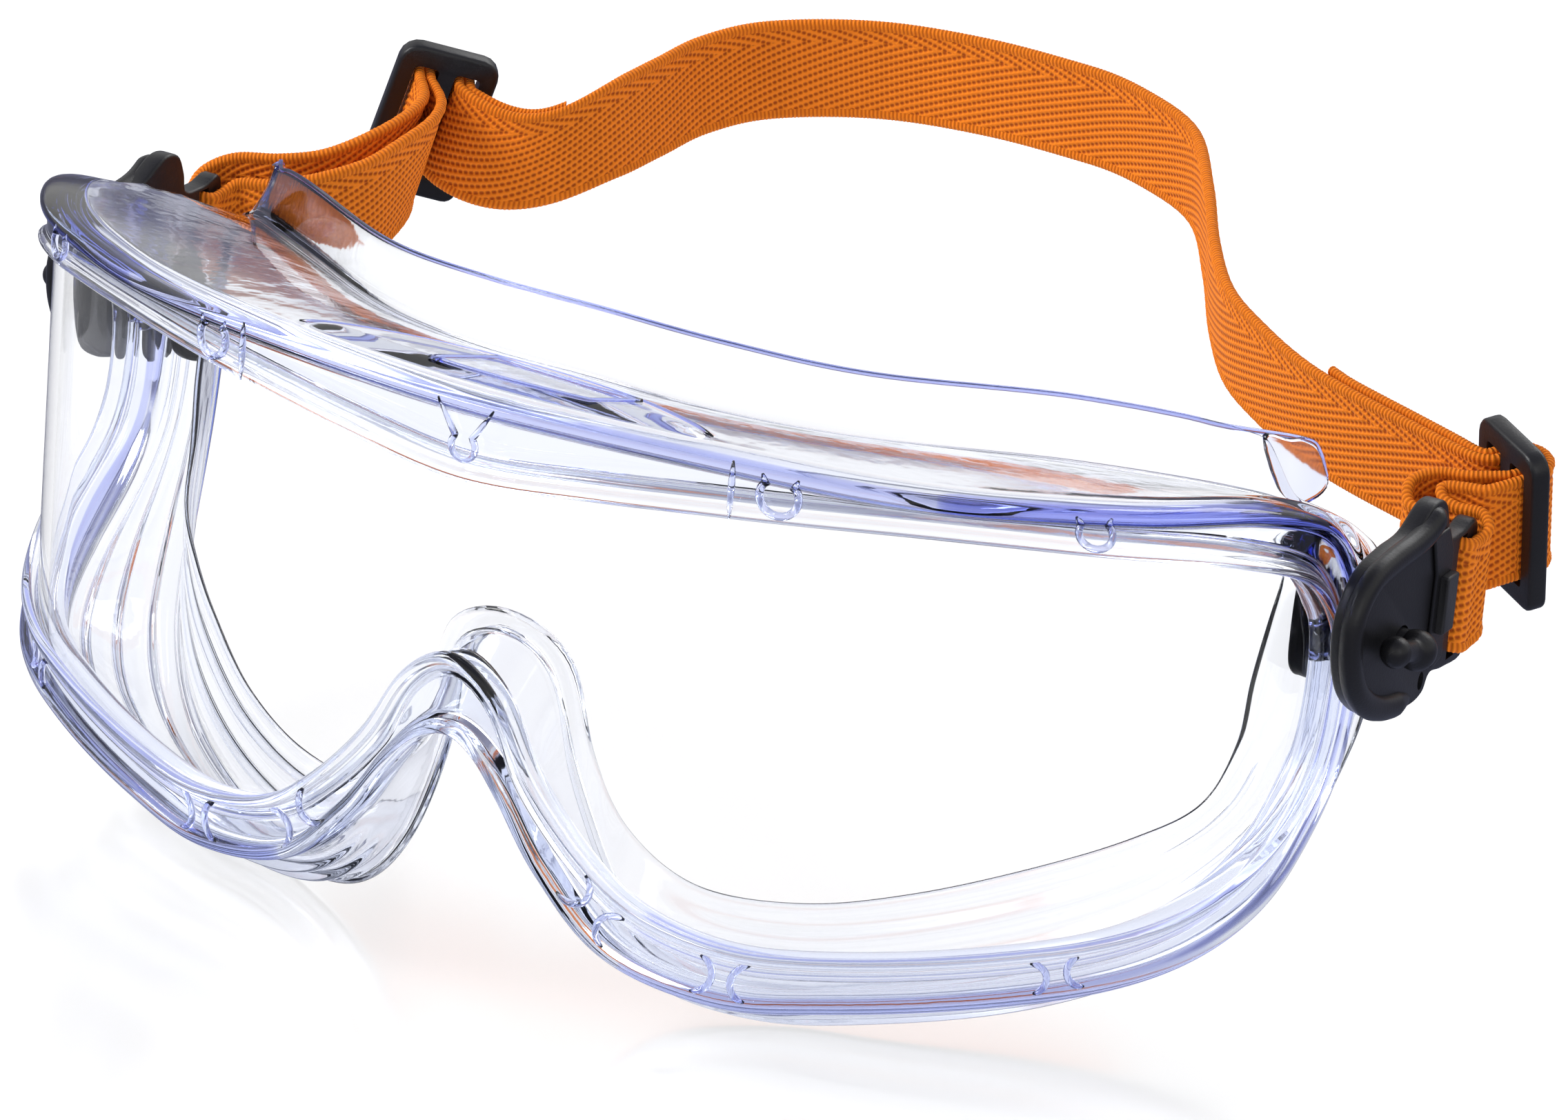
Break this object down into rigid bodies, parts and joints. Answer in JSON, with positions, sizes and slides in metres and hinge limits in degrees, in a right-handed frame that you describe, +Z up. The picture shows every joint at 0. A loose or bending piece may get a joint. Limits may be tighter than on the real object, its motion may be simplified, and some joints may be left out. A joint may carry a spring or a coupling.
{
  "type": "sports protective goggles",
  "caption": "Panoramic safety goggles with a clear moulded frame, curved lens, swivelling temple clips and an adjustable elastic headband.",
  "frame": {"origin": "On the middle plane of the goggles, halfway between the front and the back of their overall box, level with the flats of the two cheek rests, so that the goggles stand on z = 0 with the lens front 79.7 mm ahead of the origin.", "axes": "+X to the wearer's left, +Y back toward the head, +Z up."},
  "size_m": [0.1931, 0.1635, 0.0815],
  "materials": {
    "clear_vinyl": "clear soft vinyl with blue violet edges",
    "clear_lens": "clear polycarbonate sheet",
    "black_plastic": "satin black moulded plastic",
    "orange_elastic": "woven orange elastic webbing"
  },
  "bodies": {
    "frame_body": {"frame": "clear_vinyl", "lens": "clear_lens", "left_stud": "black_plastic", "right_stud": "black_plastic"},
    "headband": {"strap": "orange_elastic"},
    "left_clip_body": {"left_clip": "black_plastic"},
    "right_clip_body": {"right_clip": "black_plastic"},
    "left_buckle_body": {"left_buckle": "black_plastic"},
    "right_buckle_body": {"right_buckle": "black_plastic"}
  },
  "joints": [
    {"name": "headband_tilt", "type": "hinge", "parent": "frame_body", "child": "headband", "pos_m": [0, -0.0137, 0.0505], "axis": [1, 0, 0], "range_deg": [-25, 25]},
    {"name": "left_clip_swivel", "type": "hinge", "parent": "frame_body", "child": "left_clip_body", "pos_m": [0.09, -0.0137, 0.0505], "axis": [1, 0, 0], "range_deg": [-25, 25]},
    {"name": "right_clip_swivel", "type": "hinge", "parent": "frame_body", "child": "right_clip_body", "pos_m": [-0.09, -0.0137, 0.0505], "axis": [1, 0, 0], "range_deg": [-25, 25]},
    {"name": "left_buckle_slide", "type": "slide", "parent": "headband", "child": "left_buckle_body", "axis": [0.5625, 0.8088, 0.1719], "range_m": [-0.004, 0.006], "deforming": ["strap"]},
    {"name": "right_buckle_slide", "type": "slide", "parent": "headband", "child": "right_buckle_body", "axis": [-0.5625, 0.8088, 0.1719], "range_m": [-0.006, 0.006], "deforming": ["strap"]}
  ],
  "couplings": [
    {"joint": "left_clip_swivel", "follows": "headband_tilt", "ratio": 1},
    {"joint": "right_clip_swivel", "follows": "headband_tilt", "ratio": 1}
  ]
}
